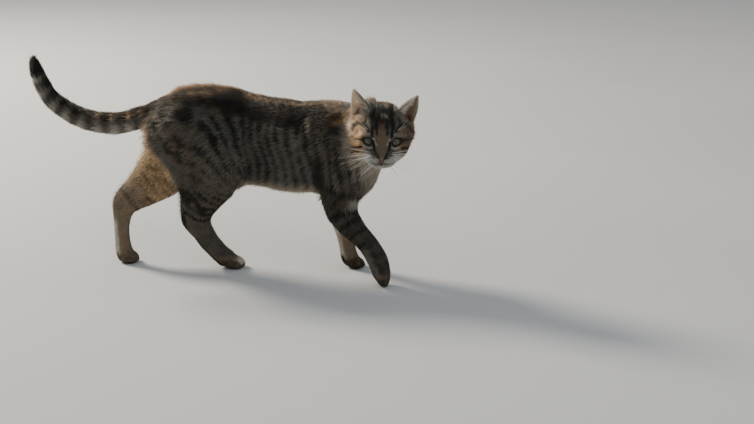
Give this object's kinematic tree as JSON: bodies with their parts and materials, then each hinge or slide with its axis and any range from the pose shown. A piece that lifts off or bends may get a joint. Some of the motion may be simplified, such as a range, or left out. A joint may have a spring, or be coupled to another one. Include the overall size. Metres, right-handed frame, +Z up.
{
  "type": "domestic cat",
  "caption": "Life-size short-haired striped domestic cat, walking, head turned to its right and tail carried low and curling up behind.",
  "frame": {"origin": "middle of the whole cat's bounding box, at floor level under the paws", "axes": "+X the way the cat walks, +Y to the cat's left, +Z up"},
  "size_m": [0.5796, 0.1948, 0.3057],
  "materials": {
    "coat": "short striped fur",
    "ear": "thin fur",
    "eye": "wet and glossy",
    "nose": "moist leather"
  },
  "bodies": {
    "root": {"face": "coat", "head": "coat", "neck": "coat", "trunk": "coat", "tail_base": "coat", "tail_middle": "coat", "tail_tip": "coat", "shoulder_right": "coat", "forearm_right": "coat", "fore_paw_right": "coat", "shoulder_left": "coat", "forearm_left": "coat", "fore_paw_left": "coat", "thigh_right": "coat", "shank_right": "coat", "hind_paw_right": "coat", "thigh_left": "coat", "shank_left": "coat", "hind_paw_left": "coat", "ear_right": "ear", "ear_left": "ear", "eye_right": "eye", "eye_left": "eye", "nose": "nose"}
  },
  "joints": []
}
